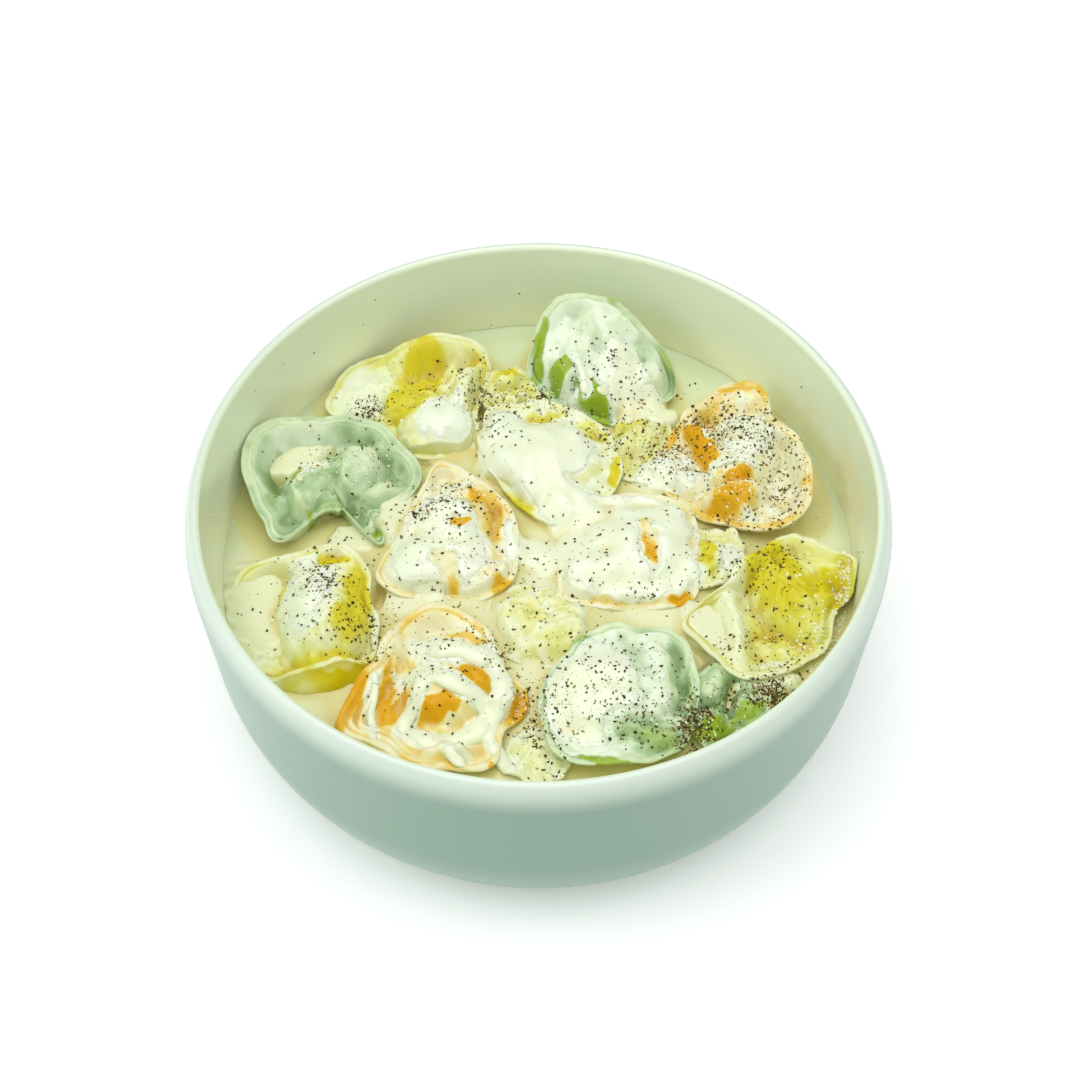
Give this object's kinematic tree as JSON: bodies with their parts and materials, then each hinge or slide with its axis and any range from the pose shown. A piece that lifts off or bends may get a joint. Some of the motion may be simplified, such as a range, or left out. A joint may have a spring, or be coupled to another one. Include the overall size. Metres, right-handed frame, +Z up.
{
  "type": "bowl of tortellini",
  "caption": "Round glazed bowl of large stuffed tortellini in yellow, green and orange dough, half sunk in cream sauce with ground pepper and grated cheese.",
  "frame": {"origin": "middle of the bowl's foot, on the surface it stands on", "axes": "+Z up through the bowl's mouth, -Y towards the front, +X to the right"},
  "size_m": [0.1652, 0.1652, 0.0665],
  "materials": {
    "glaze": "smooth glossy off-white glaze with a faint green cast",
    "cream": "thick glossy cream sauce with ground black pepper",
    "yellow_dough": "moist cooked egg dough under a film of cream",
    "green_dough": "moist cooked spinach dough under a film of cream",
    "orange_dough": "moist cooked tomato dough under a film of cream"
  },
  "bodies": {
    "root": {"bowl": "glaze", "cream_sauce": "cream", "tortellino_yellow_back": "yellow_dough", "tortellino_green_back": "green_dough", "tortellino_orange_right": "orange_dough", "tortellino_green_left": "green_dough", "tortellino_yellow_middle": "yellow_dough", "tortellino_orange_middle_left": "orange_dough", "tortellino_orange_middle_right": "orange_dough", "tortellino_yellow_right": "yellow_dough", "tortellino_yellow_left": "yellow_dough", "tortellino_orange_front": "orange_dough", "tortellino_green_front": "green_dough", "tortellino_green_corner": "green_dough", "tortellino_pale_middle": "yellow_dough", "tortellino_pale_back": "yellow_dough", "tortellino_yellow_scrap": "yellow_dough", "tortellino_yellow_fold": "yellow_dough", "tortellino_pale_front": "yellow_dough"}
  },
  "joints": []
}
